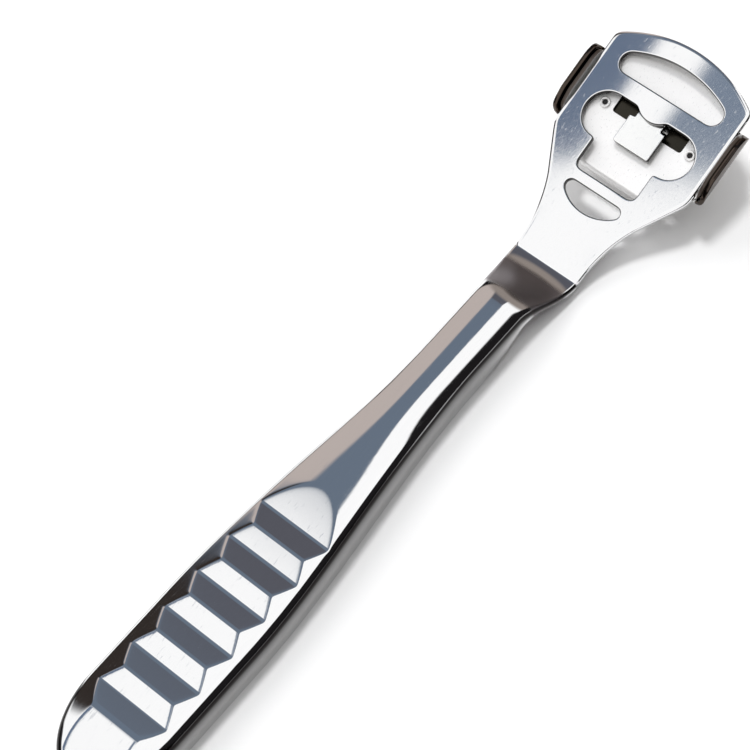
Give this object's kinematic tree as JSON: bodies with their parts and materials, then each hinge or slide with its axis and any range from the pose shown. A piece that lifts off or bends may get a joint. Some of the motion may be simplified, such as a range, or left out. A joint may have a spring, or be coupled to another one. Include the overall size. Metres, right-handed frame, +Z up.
{
  "type": "callus shaver",
  "caption": "Stainless steel callus shaver with a ribbed, hollow-backed handle and a windowed head plate over an arched holder, thin blade and slotted sole.",
  "frame": {"origin": "under the middle of the whole part's bounding box, on the plane that the handle's rims rest on", "axes": "+Y along the handle towards the head, +Z up from the resting plane, X across, the part symmetric about X = 0"},
  "size_m": [0.0352, 0.1738, 0.0181],
  "materials": {
    "body_steel": "mirror polished with fine brushing",
    "holder_steel": "satin",
    "blade_steel": "dark hardened",
    "sole_steel": "polished"
  },
  "bodies": {
    "root": {"body": "body_steel", "holder": "holder_steel", "blade": "blade_steel", "sole": "sole_steel"}
  },
  "joints": []
}
